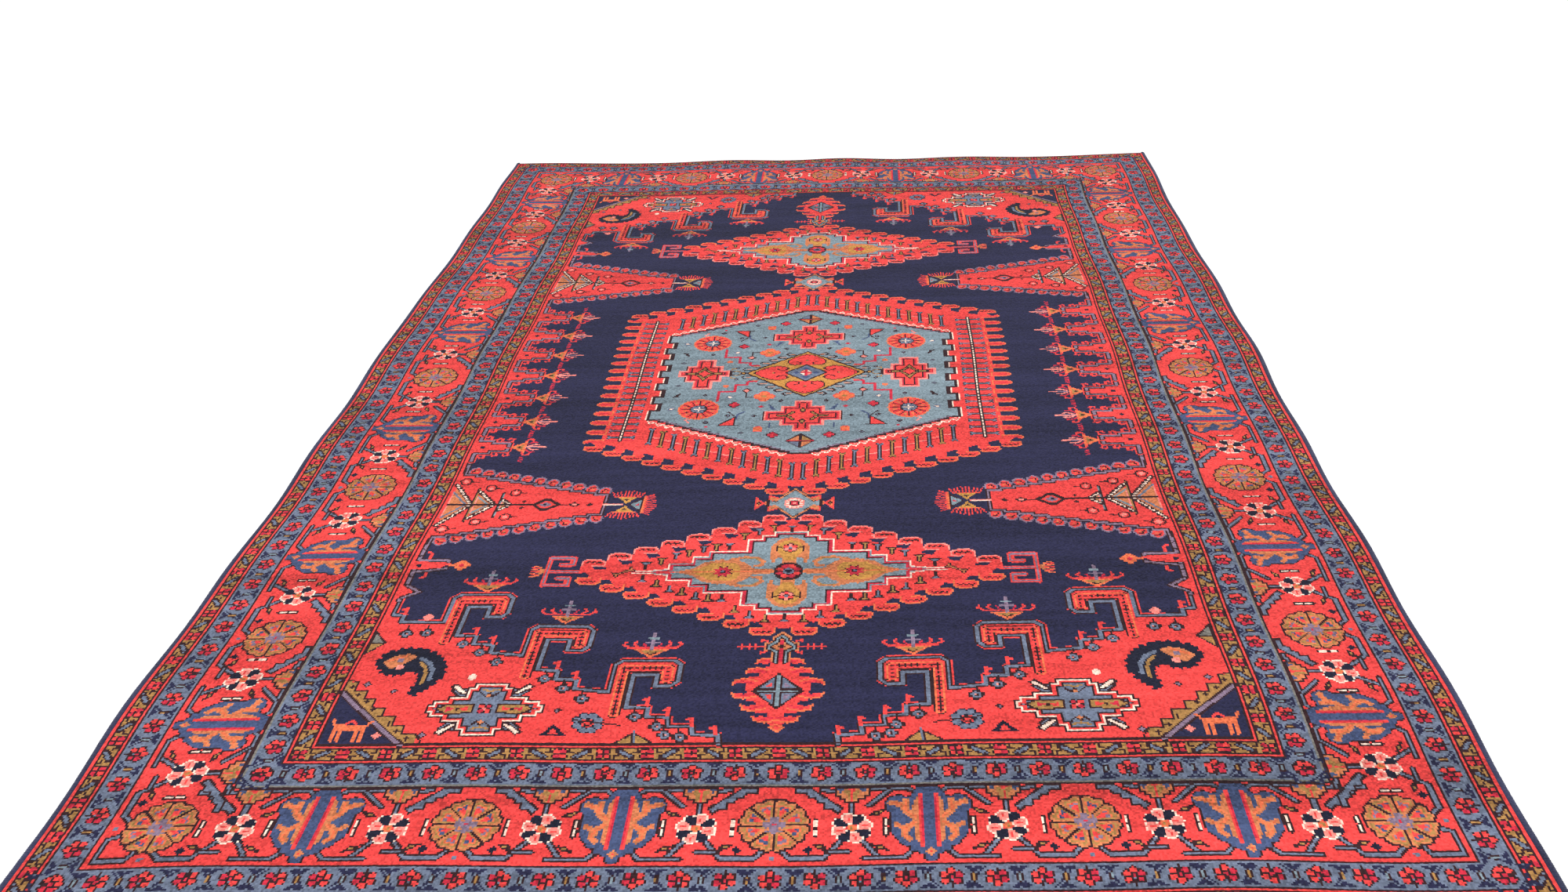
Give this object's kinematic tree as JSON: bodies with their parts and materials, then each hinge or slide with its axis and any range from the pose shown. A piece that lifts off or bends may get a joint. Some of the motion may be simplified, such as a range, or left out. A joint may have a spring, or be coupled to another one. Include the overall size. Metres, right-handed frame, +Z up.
{
  "type": "area rug",
  "caption": "Rectangular hand-knotted wool area rug with a hexagonal medallion, pendants, corner spandrels and banded borders.",
  "frame": {"origin": "centre of the underside, on the floor plane", "axes": "+Y along the rug's length, +X across its width, +Z up from the floor"},
  "size_m": [2.14, 3.28, 0.011],
  "materials": {
    "cotton_weave": "plain-woven undyed cotton ground with rows of knot backs",
    "cotton_cable": "twisted undyed cotton cable",
    "navy_overcast": "navy wool wrapped round cables",
    "dark_hem": "dark wool overcast hem",
    "kilim_weave": "flat-woven red-brown wool",
    "olive_pile": "cut wool pile, olive-gold with knotted pattern",
    "steel_blue_pile": "cut wool pile, steel blue with knotted pattern",
    "pale_blue_pile": "cut wool pile, pale grey-blue with knotted pattern",
    "navy_pile": "cut wool pile, navy",
    "red_pile": "cut wool pile, coral red with knotted pattern"
  },
  "bodies": {
    "root": {"cotton_warps": "cotton_weave", "cotton_wefts": "cotton_weave", "selvedge_cables_left": "cotton_cable", "selvedge_cables_right": "cotton_cable", "selvedge_wrap_left": "navy_overcast", "selvedge_wrap_right": "navy_overcast", "kilim_end_near": "kilim_weave", "kilim_end_far": "kilim_weave", "bound_hem_near": "dark_hem", "bound_hem_far": "dark_hem", "outer_minor_left": "olive_pile", "outer_minor_right": "olive_pile", "outer_minor_near": "olive_pile", "outer_minor_far": "olive_pile", "outer_guard_left": "steel_blue_pile", "outer_guard_right": "steel_blue_pile", "outer_guard_near": "steel_blue_pile", "outer_guard_far": "steel_blue_pile", "main_border_left": "red_pile", "main_border_right": "red_pile", "main_border_near": "red_pile", "main_border_far": "red_pile", "inner_guard_left": "steel_blue_pile", "inner_guard_right": "steel_blue_pile", "inner_guard_near": "steel_blue_pile", "inner_guard_far": "steel_blue_pile", "inner_minor_left": "olive_pile", "inner_minor_right": "olive_pile", "inner_minor_near": "olive_pile", "inner_minor_far": "olive_pile", "medallion_heart": "pale_blue_pile", "medallion_rim": "red_pile", "pendant_near": "red_pile", "pendant_far": "red_pile", "link_near": "pale_blue_pile", "link_far": "pale_blue_pile", "finial_near": "red_pile", "finial_far": "red_pile", "spike_near_left": "red_pile", "spike_near_right": "red_pile", "spike_far_left": "red_pile", "spike_far_right": "red_pile", "side_hooks_left": "red_pile", "side_hooks_right": "red_pile", "spandrel_near_left": "red_pile", "spandrel_near_right": "red_pile", "spandrel_far_left": "red_pile", "spandrel_far_right": "red_pile", "field_ground": "navy_pile"}
  },
  "joints": []
}
